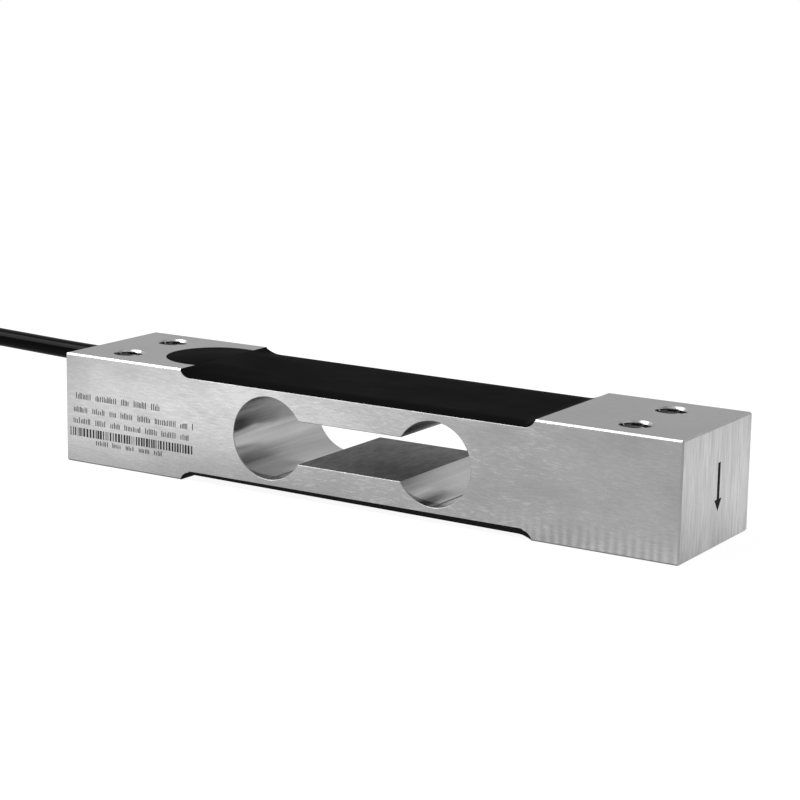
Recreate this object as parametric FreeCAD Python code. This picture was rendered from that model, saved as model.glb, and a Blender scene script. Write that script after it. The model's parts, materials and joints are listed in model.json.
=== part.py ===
import FreeCAD, Part
import math
import os

# Single point load cell, in millimetres.
# X runs along the beam: the cable leaves the fixed end at -X and the load goes on at +X.
# Z is up, and the origin is the centre of the beam's bottom face.

# Beam
length = 130.0
width = 28.0
height = 21.2
top_break = 0.5           # chamfer along the top edges of the end blocks
edge_break = 0.3          # chamfer on their other edges
recess_break = 0.2        # chamfer along the sides of the recess floors

# Gauge recesses, milled across the top and the bottom
recess_length = 75.0
recess_depth = 1.6
recess_end_radius = 2.2   # the cutter's corner

# Binocular window
bore_pitch = 35.0
bore_diameter = 15.4
slot_height = 8.0

# Tapped holes, M6 right through, two at each end
thread_core_diameter = 5.0
countersink_diameter = 6.3
hole_pitch = 14.0
fixed_hole_inset = 10.0
load_hole_inset = 12.0

# Wiring pocket in the fixed end, and the way down to the bottom gauges
pocket_diameter = 19.2
pocket_depth = 6.5
pocket_setback = 1.9      # from the end of the recess to the pocket's centre
wire_way_diameter = 3.0
wire_way_offset_x = 6.4   # from the pocket's centre
wire_way_offset_y = 4.2

# Cable
cable_diameter = 3.6
cable_drop = 2.9          # from the top face to the cable's centre
cable_clearance = 0.1     # round the cable in its bore
cable_inside = 1.6        # jacket past the pocket's wall
sealant_diameter = 4.6
sealant_depth = 1.5
core_diameter = 0.8
core_spread = 0.5         # half the distance between neighbouring cores
drain_diameter = 0.5
wire_lift = 0.1           # from the board to the end of each wire

# Strain gauges and their solder terminals
gauge_length = 8.0
gauge_width = 5.0
gauge_backing = 0.1
grid_length = 4.4
grid_pitch = 0.7
grid_line_width = 0.3
grid_height = 0.05
grid_lines = 5
terminal_length = 3.0
terminal_width = 5.0
terminal_thickness = 0.3
terminal_offset = 6.5     # from the gauge's centre towards the cable
pad_size = 1.1
pad_height = 0.1
pad_pitch = 1.6

# Flat ribbon leads
ribbon_width = 2.0
ribbon_thickness = 0.2
ribbon_foot = 2.6

# Circuit board and what is on it
board_diameter = 17.6
board_thickness = 1.0
board_hole_clearance = 0.2
resistor_length = 2.0
resistor_width = 1.25
resistor_height = 0.5
resistor_cap = 0.4        # length of each metal end cap
resistor_cap_stand = 0.05
resistor_pitch_x = 3.4
resistor_pitch_y = 2.6
solder_size = 1.2
solder_height = 0.9
solder_pitch = 2.3
solder_row = 5.2          # from the pocket's centre towards the cable

# Sealing compound over the gauges
top_layer_edge = 0.5
top_layer_crown = 0.85
bottom_layer_fixed_end = 0.55
bottom_layer_load_end = 1.05
top_meniscus = 3.6
bottom_meniscus = 2.8

# Free cable: offsets from the point where it leaves the fixed end's face.
# After the last point it is wound clockwise, as seen from above.
cable_route = [
    (0.0, 0.0, 0.0),
    (-6.0, 0.0, 0.0),
    (-36.0, 0.0, 1.0),
    (-55.0, -10.4, -13.2),
    (-78.0, -12.0, -16.2),
]
bend_share = 0.45         # of the shorter run that each bend takes up
coil_radius = 18.2        # to the middle of a turn
coil_layers = 2           # whole turns under the last one
last_turn_angle = 215.0
tie_angle = 180.0
tie_width = 3.0
tie_thickness = 0.3
tie_clearance = 0.1
sleeve_diameter = 3.4
sleeve_length = 4.6
lead_length = 12.0
lead_tip_length = 3.5
lead_tip_diameter = 0.4
lead_spacing = 0.9
drain_step = 1.1          # of that spacing, from the middle of the bundle up to the drain wire
lead_turn = 20.0          # degrees in towards the middle of the coil
lead_fall = 4.0           # degrees down on to the turn below

overcut = 1.0             # how far each cutter reaches past the face it opens

V = FreeCAD.Vector
X_AXIS = V(1, 0, 0)
Y_AXIS = V(0, 1, 0)
Z_AXIS = V(0, 0, 1)

# Places that follow from the sizes
end_x = length / 2
side_y = width / 2
middle_z = height / 2
recess_half = recess_length / 2
top_floor = height - recess_depth
fixed_hole_x = -end_x + fixed_hole_inset
load_hole_x = end_x - load_hole_inset
bore_x = bore_pitch / 2
pocket_x = -recess_half - pocket_setback
pocket_floor = height - pocket_depth
wire_way_x = pocket_x + wire_way_offset_x
cable_z = height - cable_drop
board_top = pocket_floor + board_thickness
exit_point = V(-end_x, 0, cable_z)
cable_radius = cable_diameter / 2


def box(x0, x1, y0, y1, z0, z1):
    return Part.makeBox(x1 - x0, y1 - y0, z1 - z0, V(x0, y0, z0))


def centred_box(x, y, z0, size_x, size_y, size_z):
    """A box on a spot: centred on x and y, standing on z0."""
    return box(x - size_x / 2, x + size_x / 2, y - size_y / 2, y + size_y / 2, z0, z0 + size_z)


def rod(start, axis, diameter, reach):
    return Part.makeCylinder(diameter / 2, reach, start, axis)


def fuse(shapes):
    return shapes[0].multiFuse(shapes[1:]).removeSplitter()


def across(edges, half_width):
    """A profile in the XZ plane, carried across the beam between two widths."""
    face = Part.Face(Part.Wire(edges))
    face.translate(V(0, -half_width, 0))
    return face.extrude(V(0, 2 * half_width, 0))


def upside_down(shape):
    """The same piece on the bottom of the beam."""
    return shape.mirror(V(0, 0, middle_z), Z_AXIS)


def line(a, b):
    return Part.LineSegment(a, b).toShape()


def arc(a, middle, b):
    return Part.Arc(a, middle, b).toShape()


# Beam ---------------------------------------------------------------------------

def recess_cutter():
    """The top recess: a flat floor with the cutter's rounded corner at each end."""
    radius = recess_end_radius
    rise = min(recess_depth, radius)
    run = math.sqrt(radius ** 2 - (radius - rise) ** 2)
    flat = recess_half - run
    wall = flat + radius
    above = max(height, top_floor + radius) + overcut
    slant = math.sqrt(0.5) * radius
    corner = V(flat + slant, 0, top_floor + radius - slant)
    return across([
        line(V(-flat, 0, top_floor), V(flat, 0, top_floor)),
        arc(V(flat, 0, top_floor), corner, V(wall, 0, top_floor + radius)),
        line(V(wall, 0, top_floor + radius), V(wall, 0, above)),
        line(V(wall, 0, above), V(-wall, 0, above)),
        line(V(-wall, 0, above), V(-wall, 0, top_floor + radius)),
        arc(V(-wall, 0, top_floor + radius), V(-corner.x, 0, corner.z), V(-flat, 0, top_floor)),
    ], side_y + overcut)


def section_corners(side):
    """One side of the bar's section, from the bottom up, with its edges broken."""
    return [
        V(-end_x, side * (side_y - edge_break), 0),
        V(-end_x, side * side_y, edge_break),
        V(-end_x, side * side_y, height - top_break),
        V(-end_x, side * (side_y - top_break), height),
    ]


def outline():
    """The milled bar, chamfered all round, before its holes."""
    corners = section_corners(1) + section_corners(-1)[::-1]
    bar = Part.Face(Part.makePolygon(corners + corners[:1])).extrude(V(length, 0, 0))
    at_ends = [edge for edge in bar.Edges if abs(abs(edge.CenterOfMass.x) - end_x) < 0.001]
    bar = bar.makeChamfer(edge_break, at_ends)
    top = recess_cutter()
    bar = bar.cut(top).cut(upside_down(top))
    return bar.makeChamfer(recess_break, [edge for edge in bar.Edges if on_recess_side(edge)])


def on_recess_side(edge):
    """The long sides of the two recess floors."""
    middle = edge.CenterOfMass
    on_side = abs(abs(middle.y) - side_y) < 0.001
    on_floor = min(abs(middle.z - top_floor), abs(middle.z - recess_depth)) < 0.001
    return on_side and on_floor and edge.Length > bore_pitch


def tapped_hole(x, y):
    """The core hole with a countersink at each mouth; the thread is left plain."""
    core = thread_core_diameter / 2
    mouth = countersink_diameter / 2
    sink = mouth - core
    hole = rod(V(x, y, -overcut), Z_AXIS, thread_core_diameter, height + 2 * overcut)
    upper = Part.makeCone(core, mouth, sink, V(x, y, height - sink), Z_AXIS)
    lower = Part.makeCone(mouth, core, sink, V(x, y, 0), Z_AXIS)
    return fuse([hole, upper, lower])


def pocket(top):
    return rod(V(pocket_x, 0, pocket_floor), Z_AXIS, pocket_diameter, top - pocket_floor)


def wire_way(z0, z1, diameter=wire_way_diameter):
    return rod(V(wire_way_x, -wire_way_offset_y, z0), Z_AXIS, diameter, z1 - z0)


def window():
    """Two bores joined by a slot: the walls over and under the bores are the hinges."""
    reach = side_y + overcut
    bores = [rod(V(x, -reach, middle_z), Y_AXIS, bore_diameter, 2 * reach) for x in (-bore_x, bore_x)]
    low = middle_z - slot_height / 2
    slot = box(-bore_x, bore_x, -reach, reach, low, low + slot_height)
    return fuse(bores + [slot])


def beam_body():
    sides = (-hole_pitch / 2, hole_pitch / 2)
    holes = [tapped_hole(x, y) for x in (fixed_hole_x, load_hole_x) for y in sides]
    bore = rod(exit_point, X_AXIS, cable_diameter + 2 * cable_clearance, pocket_x + end_x)
    seat = rod(exit_point, X_AXIS, sealant_diameter, sealant_depth)
    way = wire_way(0, pocket_floor + overcut)
    return outline().cut(holes + [window(), pocket(height + overcut), bore, seat, way])


# Gauges, terminals and leads ------------------------------------------------------

def strain_gauge(x):
    """Carrier film with a raised foil grid, folded back and forth along the beam."""
    carrier = centred_box(x, 0, top_floor, gauge_length, gauge_width, gauge_backing)
    first = -grid_pitch * (grid_lines - 1) / 2
    foil = []
    for i in range(grid_lines):
        y = first + i * grid_pitch
        foil.append(centred_box(x, y, top_floor, grid_length, grid_line_width, gauge_backing + grid_height))
        if i:
            end = (grid_length - grid_line_width) / 2 * (-1) ** i
            foil.append(centred_box(x + end, y - grid_pitch / 2, top_floor, grid_line_width,
                                    grid_pitch + grid_line_width, gauge_backing + grid_height))
    return fuse([carrier] + foil)


def gauge_terminal(x):
    """A strip with three tinned pads, glued down beside its gauge."""
    strip = centred_box(x, 0, top_floor, terminal_length, terminal_width, terminal_thickness)
    pads = [centred_box(x, i * pad_pitch, top_floor, pad_size, pad_size, terminal_thickness + pad_height)
            for i in (-1, 0, 1)]
    return fuse([strip] + pads)


def ribbon_run():
    """The flat lead along the recess, with a tab to each terminal."""
    inner = wire_way_offset_y - ribbon_width / 2
    outer = wire_way_offset_y + ribbon_width / 2
    far = terminal_x[1] + terminal_length / 2
    z1 = top_floor + ribbon_thickness
    pieces = [box(wire_way_x, far, inner, outer, top_floor, z1)]
    for x in terminal_x:
        pieces.append(box(x - pad_size / 2, x + pad_size / 2, terminal_width / 2, inner, top_floor, z1))
    return pieces


def top_leads():
    """The lead for the top gauges: over the pocket's rim and down to a foot on the board."""
    inner = wire_way_offset_y - ribbon_width / 2
    outer = wire_way_offset_y + ribbon_width / 2
    drop = box(wire_way_x, wire_way_x + ribbon_thickness, inner, outer, board_top, top_floor)
    foot = box(wire_way_x - ribbon_foot, wire_way_x, inner, outer, board_top, board_top + ribbon_thickness)
    return fuse(ribbon_run() + [drop, foot])


def bottom_leads():
    """The lead for the bottom gauges: up the wire way and over on to the board."""
    inner = wire_way_offset_y - ribbon_width / 2
    outer = wire_way_offset_y + ribbon_width / 2
    run = fuse(ribbon_run())
    run = upside_down(run).mirror(V(0, 0, 0), Y_AXIS)
    riser = box(wire_way_x, wire_way_x + ribbon_thickness, -outer, -inner,
                recess_depth - ribbon_thickness, board_top + ribbon_thickness)
    reach = wire_way_diameter / 2 + ribbon_foot
    foot = box(wire_way_x - reach, wire_way_x, -outer, -inner, board_top, board_top + ribbon_thickness)
    return fuse([run, riser, foot])


# Circuit board --------------------------------------------------------------------

def circuit_board():
    board = rod(V(pocket_x, 0, pocket_floor), Z_AXIS, board_diameter, board_thickness)
    return board.cut(wire_way(pocket_floor - 1, board_top + 1, wire_way_diameter + 2 * board_hole_clearance))


def resistor(column, row):
    """A chip resistor: its body, with a metal cap at each end that stands a little proud."""
    x = pocket_x + column * resistor_pitch_x / 2
    y = row * resistor_pitch_y / 2
    body = centred_box(x, y, board_top, resistor_length - resistor_cap, resistor_width, resistor_height)
    caps = []
    for side in (-1, 1):
        cap_x = x + side * (resistor_length - resistor_cap) / 2
        caps.append(centred_box(cap_x, y, board_top, resistor_cap, resistor_width + resistor_cap_stand,
                                resistor_height + resistor_cap_stand))
    return fuse([body] + caps)


def rounded_path(points):
    """Straight runs joined by tangent arcs, each as large as its two runs allow, and the radii."""
    edges = []
    radii = []
    start = points[0]
    for before, corner, after in zip(points, points[1:], points[2:]):
        back = before - corner
        ahead = after - corner
        half_turn = (math.pi - back.getAngle(ahead)) / 2
        cut = bend_share * min(back.Length, ahead.Length)
        radius = cut / math.tan(half_turn)
        back.normalize()
        ahead.normalize()
        bisector = back + ahead
        bisector.normalize()
        first = corner + back * cut
        last = corner + ahead * cut
        middle = corner + bisector * (radius / math.cos(half_turn) - radius)
        edges.append(line(start, first))
        edges.append(arc(first, middle, last))
        radii.append(radius)
        start = last
    edges.append(line(start, points[-1]))
    return Part.Wire(edges), radii


def tube(points, diameter):
    path, radii = rounded_path(points)
    ring = Part.Wire(Part.Circle(points[0], points[1] - points[0], diameter / 2).toShape())
    return path.makePipeShell([ring], True, True), path.Length, radii


def solder_y(index):
    return (index - 2) * solder_pitch


def solder_bead(index):
    """A bead on its pad, with the flat side that its wire runs up against."""
    x = pocket_x - solder_row
    bead = centred_box(x, solder_y(index), board_top, solder_size, solder_size, solder_height)
    edges = [edge for edge in bead.Edges if edge.CenterOfMass.z > board_top + solder_height - 0.001]
    return bead.makeChamfer(solder_height / 3, edges)


def pocket_wire(index, side, level, diameter):
    """A wire from the end of the jacket straight down to its bead, trimmed flush with both."""
    start = V(jacket_end - diameter, side * core_spread, cable_z + level * core_spread)
    end = V(pocket_x - solder_row, solder_y(index), board_top + diameter / 2 + wire_lift)
    wire = rod(start, end - start, diameter, (end - start).Length)
    return wire.cut([cable_in_bore(), solder_bead(index)])


# Cable ----------------------------------------------------------------------------

def cable_in_bore():
    return rod(exit_point, X_AXIS, cable_diameter, jacket_end + end_x)


def exit_sealant():
    ring = rod(exit_point, X_AXIS, sealant_diameter, sealant_depth)
    return ring.cut(rod(exit_point, X_AXIS, cable_diameter, sealant_depth))


def route_points():
    return [exit_point + V(*offset) for offset in cable_route]


def wound_ring(layers, sweep):
    """The space that turns stacked one on another take up."""
    ring = box(coil_radius - cable_radius, coil_radius + cable_radius, 0, 1, 0, layers * cable_diameter)
    section = min(ring.Faces, key=lambda face: face.CenterOfMass.y)
    ring = section.revolve(V(0, 0, 0), Z_AXIS, sweep)
    ring.rotate(V(0, 0, 0), Z_AXIS, coil_start - sweep)
    ring.translate(V(coil_centre.x, coil_centre.y, coil_foot))
    return ring


def cable_coil():
    """The outer shape of the wound cable: whole turns, with a part turn on top."""
    return fuse([wound_ring(coil_layers, 360), wound_ring(coil_layers + 1, last_turn_angle)])


def cable_run():
    solid, path_length, radii = tube(route_points(), cable_diameter)
    section = math.pi * cable_radius ** 2
    share = solid.Volume / (section * path_length)
    print("cable run: path %.2f mm, volume / (section x path) %.5f" % (path_length, share))
    print("bend radii:", ", ".join("%.1f" % radius for radius in radii))
    beside_the_coil = solid.cut(cable_coil()).Solids
    return max(beside_the_coil, key=lambda piece: piece.Volume)


def coil_tie():
    """A flat strap round the bundle of turns, with a small buckle on its outer side."""
    room = cable_radius + tie_clearance
    inner = coil_radius - room
    outer = coil_radius + room
    high = last_turn_z + room - coil_foot
    strap = centred_box(0, 0, 0, tie_width, outer - inner + 2 * tie_thickness, high + 2 * tie_thickness)
    gap = centred_box(0, 0, tie_thickness, tie_width + 2 * overcut, outer - inner, high)
    buckle = centred_box(0, outer - coil_radius + 2 * tie_thickness, middle_of_bundle - tie_width / 2,
                         tie_width + 1, 2 * tie_thickness, tie_width)
    band = strap.cut(gap).fuse(buckle)
    band.translate(V(0, coil_radius, 0))
    band.rotate(V(0, 0, 0), Z_AXIS, tie_angle - 90)
    band.translate(V(coil_centre.x, coil_centre.y, coil_foot - tie_thickness))
    return band


def heading(angle, fall):
    """Which way the cable's end points: degrees past the last turn's end, and degrees down."""
    along = math.radians(coil_start - last_turn_angle - angle)
    down = math.radians(fall)
    return V(math.sin(along) * math.cos(down), -math.cos(along) * math.cos(down), -math.sin(down))


def jacket_stop():
    along = heading(0, 0)
    return coil_centre + V(-along.y, along.x, 0) * coil_radius + Z_AXIS * last_turn_z


def lead_sleeve():
    return rod(jacket_stop(), heading(0, 0), sleeve_diameter, sleeve_length)


def free_wire(out, up, start, reach, diameter):
    """A straight wire from the sleeve, its place in the bundle given as steps of the spacing."""
    ahead = heading(lead_turn, lead_fall)
    root = jacket_stop() + heading(0, 0) * sleeve_length
    sideways = Z_AXIS.cross(heading(lead_turn, 0))
    root += sideways * out * lead_spacing + Z_AXIS * up * lead_spacing
    return rod(root + ahead * start, ahead, diameter, reach)


def lead(out, up):
    whole = free_wire(out, up, -core_diameter, lead_length + core_diameter, core_diameter)
    return whole.cut(lead_sleeve())


def lead_tips():
    tips = [free_wire(out, up, lead_length, lead_tip_length, lead_tip_diameter) for out, up in bundle]
    return Part.makeCompound(tips)


def lead_drain():
    whole = free_wire(0, drain_step, -core_diameter, lead_length + core_diameter, drain_diameter)
    return whole.cut(lead_sleeve())


# Sealing compound -----------------------------------------------------------------

def meniscus(sign, run, edge, depth_of_floor):
    """The fillet of compound that climbs from its flat surface to the end of the recess."""
    x = recess_half
    foot = depth_of_floor + edge
    rise = height - foot
    radius = (run ** 2 + rise ** 2) / (2 * rise)
    half = math.atan2(run, radius - rise) / 2
    middle = V(sign * (x - run + radius * math.sin(half)), 0, foot + radius - radius * math.cos(half))
    return across([
        arc(V(sign * x, 0, height), middle, V(sign * (x - run), 0, foot)),
        line(V(sign * (x - run), 0, foot), V(sign * (x - run), 0, depth_of_floor)),
        line(V(sign * (x - run), 0, depth_of_floor), V(sign * x, 0, depth_of_floor)),
        line(V(sign * x, 0, depth_of_floor), V(sign * x, 0, height)),
    ], side_y - recess_break)


def top_potting(inside):
    """Fills the pocket and the wire way, and covers the top gauges with a crowned layer."""
    half = side_y - recess_break
    low = top_floor
    edge = top_floor + top_layer_edge
    section = Part.Wire([
        line(V(0, -half, low), V(0, half, low)),
        line(V(0, half, low), V(0, half, edge)),
        arc(V(0, half, edge), V(0, 0, top_floor + top_layer_crown), V(0, -half, edge)),
        line(V(0, -half, edge), V(0, -half, low)),
    ])
    layer = Part.Face(section).extrude(V(recess_length, 0, 0))
    layer.translate(V(-recess_half, 0, 0))
    ends = [meniscus(sign, top_meniscus, top_layer_edge, top_floor) for sign in (-1, 1)]
    layer = fuse([layer] + ends).common(recess_cutter())
    filled = pocket(height).common(outline())
    way = wire_way(recess_depth, pocket_floor)
    return fuse([layer, filled, way]).cut(inside)


def cast_round(name, shape):
    """What the compound leaves free: it doesn't reach between a small part's raised lines."""
    if "gauge_leads" in name or not any(word in name for word in ("gauge", "terminal", "resistor")):
        return shape
    bounds = shape.BoundBox
    return box(bounds.XMin, bounds.XMax, bounds.YMin, bounds.YMax, bounds.ZMin, bounds.ZMax)


def bottom_potting(inside):
    """Covers the bottom gauges; the layer thickens towards the load end."""
    x = recess_half
    fixed_z = top_floor + bottom_layer_fixed_end
    load_z = top_floor + bottom_layer_load_end
    layer = across([
        line(V(-x, 0, top_floor), V(x, 0, top_floor)),
        line(V(x, 0, top_floor), V(x, 0, load_z)),
        line(V(x, 0, load_z), V(-x, 0, fixed_z)),
        line(V(-x, 0, fixed_z), V(-x, 0, top_floor)),
    ], side_y - recess_break)
    ends = [meniscus(-1, bottom_meniscus, bottom_layer_fixed_end, top_floor),
            meniscus(1, bottom_meniscus, bottom_layer_load_end, top_floor)]
    layer = fuse([layer] + ends).common(recess_cutter())
    return upside_down(layer).cut(inside)


# Places on the cable and along the gauges ------------------------------------------

terminal_x = [x - terminal_offset for x in (-bore_x, bore_x)]
jacket_end = pocket_x - pocket_diameter / 2 + cable_inside
coil_start = -90.0
last_point = exit_point + V(*cable_route[-1])
coil_centre = V(last_point.x, last_point.y + coil_radius, 0)
coil_foot = last_point.z - cable_radius
last_turn_z = coil_foot + (coil_layers + 0.5) * cable_diameter
middle_of_bundle = (coil_layers + 1) * cable_diameter / 2 + tie_thickness
bundle = [(0.5, -0.5), (0.5, 0.5), (-0.5, -0.5), (-0.5, 0.5)]

nodes = {"beam_body": beam_body()}

for name, x in (("fixed_end", -bore_x), ("load_end", bore_x)):
    nodes["top_gauge_" + name] = strain_gauge(x)
    nodes["bottom_gauge_" + name] = upside_down(strain_gauge(x))
    nodes["top_terminal_" + name] = gauge_terminal(x - terminal_offset)
    nodes["bottom_terminal_" + name] = upside_down(gauge_terminal(x - terminal_offset))
nodes["top_gauge_leads"] = top_leads()
nodes["bottom_gauge_leads"] = bottom_leads()

nodes["circuit_board"] = circuit_board()
resistors = {
    "zero_balance_resistor": (-1, -1),
    "zero_drift_resistor": (-1, 1),
    "span_resistor": (1, -1),
    "span_drift_resistor": (1, 1),
}
for name, (column, row) in resistors.items():
    nodes[name] = resistor(column, row)

cores = {"red": (0, -1, 1), "black": (1, -1, -1), "green": (3, 1, -1), "white": (4, 1, 1)}
for colour, (index, side, level) in cores.items():
    nodes["core_" + colour] = pocket_wire(index, side, level, core_diameter)
nodes["shield_drain_wire"] = pocket_wire(2, 0, 0, drain_diameter)
nodes["board_solder_joints"] = Part.makeCompound([solder_bead(index) for index in range(5)])
nodes["cable_in_bore"] = cable_in_bore()

inside = [cast_round(name, shape) for name, shape in nodes.items() if name != "beam_body"]
nodes["top_potting"] = top_potting(inside)
nodes["bottom_potting"] = bottom_potting(inside)
nodes["cable_exit_sealant"] = exit_sealant()

nodes["cable_run"] = cable_run()
nodes["cable_coil"] = cable_coil()
nodes["coil_tie"] = coil_tie()
nodes["lead_sleeve"] = lead_sleeve()
for colour, (out, up) in zip(cores, bundle):
    nodes["lead_" + colour] = lead(out, up)
nodes["lead_tips"] = lead_tips()
nodes["lead_drain_wire"] = lead_drain()

os.makedirs("parts", exist_ok=True)
for name, shape in nodes.items():
    shape.exportStep("parts/" + name + ".step")
    print("%-26s solids %d  volume %10.3f" % (name, len(shape.Solids), shape.Volume))
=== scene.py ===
import json
import math

import bmesh
import bpy
import numpy as np
from mathutils import Matrix, Vector


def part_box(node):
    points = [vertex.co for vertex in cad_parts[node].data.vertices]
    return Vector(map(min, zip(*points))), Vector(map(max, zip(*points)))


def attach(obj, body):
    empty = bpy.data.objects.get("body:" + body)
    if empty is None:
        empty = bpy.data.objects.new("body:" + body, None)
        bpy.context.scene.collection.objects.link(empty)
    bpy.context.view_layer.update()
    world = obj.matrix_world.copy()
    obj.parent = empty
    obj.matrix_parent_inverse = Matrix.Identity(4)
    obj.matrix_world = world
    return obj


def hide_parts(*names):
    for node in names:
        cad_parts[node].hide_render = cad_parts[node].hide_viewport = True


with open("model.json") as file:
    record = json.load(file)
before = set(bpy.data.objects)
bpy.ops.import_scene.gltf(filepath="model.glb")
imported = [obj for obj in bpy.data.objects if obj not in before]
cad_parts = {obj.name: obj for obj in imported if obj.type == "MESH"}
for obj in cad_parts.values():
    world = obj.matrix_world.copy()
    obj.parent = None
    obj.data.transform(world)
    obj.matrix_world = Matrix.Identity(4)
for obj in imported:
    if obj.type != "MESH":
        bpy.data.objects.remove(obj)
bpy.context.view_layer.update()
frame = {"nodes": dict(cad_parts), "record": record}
nodes = frame["nodes"]
mounts = frame["record"]["mounts"]
mm = 0.001
print("frame loaded:", len(nodes), "nodes")

halfLength, halfWidth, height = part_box("beam_body")[1]


# meshes

def gridQuads(rows, columns, wrapColumns=False):
    # the four corners of every cell of a grid whose points are numbered row by row
    index = np.arange(rows * columns).reshape(rows, columns)
    if wrapColumns:
        index = np.hstack([index, index[:, :1]])
    corners = [index[:-1, :-1], index[:-1, 1:], index[1:, 1:], index[1:, :-1]]
    return np.stack(corners, axis=-1).reshape(-1, 4)


def newPiece(name, points, faces):
    mesh = bpy.data.meshes.new(name)
    mesh.from_pydata(np.asarray(points, float).reshape(-1, 3).tolist(), [], faces)
    mesh.update()
    piece = bpy.data.objects.new(name, mesh)
    bpy.context.scene.collection.objects.link(piece)
    return piece


def faceOutwards(piece):
    work = bmesh.new()
    work.from_mesh(piece.data)
    bmesh.ops.remove_doubles(work, verts=work.verts, dist=1e-7)
    bmesh.ops.recalc_face_normals(work, faces=work.faces)
    work.to_mesh(piece.data)
    work.free()


def lofted(name, loops):
    # a solid through closed outlines, loops[row, point, xyz], with its first and last one filled
    rows, columns = loops.shape[:2]
    faces = gridQuads(rows, columns, wrapColumns=True).tolist()
    faces.append(list(range(columns)))
    faces.append(list(range((rows - 1) * columns, rows * columns)))
    piece = newPiece(name, loops, faces)
    faceOutwards(piece)
    return piece


def turned(name, centre, heights, radii, segments=96):
    # a solid of revolution round a vertical axis: radius over height
    angle = np.linspace(0, 2 * np.pi, segments, endpoint=False)
    heights, radii = np.asarray(heights, float), np.asarray(radii, float)
    x = centre[0] + radii[:, None] * np.cos(angle)
    y = centre[1] + radii[:, None] * np.sin(angle)
    z = np.repeat(heights[:, None], segments, axis=1)
    return lofted(name, np.stack([x, y, z], axis=-1))


def applyModifiers(piece):
    graph = bpy.context.evaluated_depsgraph_get()
    mesh = bpy.data.meshes.new_from_object(piece.evaluated_get(graph))
    piece.modifiers.clear()
    old = piece.data
    piece.data = mesh
    bpy.data.meshes.remove(old)


def combine(piece, others, operation):
    # boolean with each of the others, which are used up
    for other in others:
        step = piece.modifiers.new(other.name, "BOOLEAN")
        step.operation = operation
        step.solver = "EXACT"
        step.object = other
    applyModifiers(piece)
    for other in others:
        bpy.data.objects.remove(other)


def joinTo(piece, other):
    # the other's closed mesh goes into the piece's
    work = bmesh.new()
    work.from_mesh(piece.data)
    work.from_mesh(other.data)
    work.to_mesh(piece.data)
    work.free()
    bpy.data.objects.remove(other)


def smoothShade(piece, sharpDegrees=30):
    piece.data.polygons.foreach_set("use_smooth", [True] * len(piece.data.polygons))
    piece.data.set_sharp_from_angle(angle=math.radians(sharpDegrees))


# shaders

def addNode(tree, kind, inputs=None, **settings):
    # a node with its settings made, and each input either linked or given a value
    made = tree.nodes.new(kind)
    for name, value in settings.items():
        setattr(made, name, value)
    for name, value in (inputs or {}).items():
        if isinstance(value, bpy.types.NodeSocket):
            tree.links.new(value, made.inputs[name])
        else:
            made.inputs[name].default_value = value
    return made


def addMath(tree, operation, first, second=0.0, third=0.0):
    return addNode(tree, "ShaderNodeMath", {0: first, 1: second, 2: third}, operation=operation).outputs[0]


def mapRange(tree, value, low, high, toLow, toHigh):
    inputs = {"Value": value, "From Min": low, "From Max": high, "To Min": toLow, "To Max": toHigh}
    return addNode(tree, "ShaderNodeMapRange", inputs).outputs["Result"]


def newMaterial(name):
    material = bpy.data.materials.new(name)
    material.use_nodes = True
    tree = material.node_tree
    return material, tree, tree.nodes["Principled BSDF"]


def objectPlace(tree):
    return addNode(tree, "ShaderNodeTexCoord").outputs["Object"]


def toneColour(tree, value, colour):
    # the colour, lighter or darker by a value near 1
    scale = addNode(tree, "ShaderNodeVectorMath", {0: colour, "Scale": value}, operation="SCALE")
    return scale.outputs["Vector"]


usualNoise = (0.3, 0.7)     # most of a noise lies between these


def addNoise(tree, place, stretch, scale=1.0, detail=2.0, roughness=0.5):
    # noise whose lumps a metre number stretch times scale along each axis
    spread = addNode(tree, "ShaderNodeVectorMath", {0: place, 1: stretch}, operation="MULTIPLY").outputs[0]
    inputs = {"Vector": spread, "Scale": scale, "Detail": detail, "Roughness": roughness}
    return addNode(tree, "ShaderNodeTexNoise", inputs).outputs["Fac"]


def makeSoft(name, colour, roughness, specular=0.5, grain=900.0, variety=0.06, bump=0.004, coat=0.0,
             metallic=0.0):
    # plastic, rubber, film or solder: a grain of fine dimples, so many a metre and bump mm deep, and a drift
    # of tone and roughness that is twelve times as wide
    material, tree, shader = newMaterial(name)
    place = objectPlace(tree)
    fine = addNoise(tree, place, (1, 1, 1), grain, 3.0)
    slow = addNoise(tree, place, (1, 1, 1), grain / 12)
    tone = addMath(tree, "MULTIPLY_ADD", addMath(tree, "ADD", fine, slow), variety, 1 - variety)
    tree.links.new(toneColour(tree, tone, colour), shader.inputs["Base Color"])
    drift = 0.05
    rough = mapRange(tree, slow, *usualNoise, roughness - drift, roughness + drift)
    tree.links.new(rough, shader.inputs["Roughness"])
    relief = addNode(tree, "ShaderNodeBump", {"Height": fine, "Distance": bump * mm})
    tree.links.new(relief.outputs["Normal"], shader.inputs["Normal"])
    shader.inputs["Specular IOR Level"].default_value = specular
    shader.inputs["Metallic"].default_value = metallic
    if coat:
        shader.inputs["Coat Weight"].default_value = coat
        shader.inputs["Coat Roughness"].default_value = 0.15
    return material


def dress(piece, material):
    piece.data.materials.clear()
    piece.data.materials.append(material)


# the beam

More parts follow.
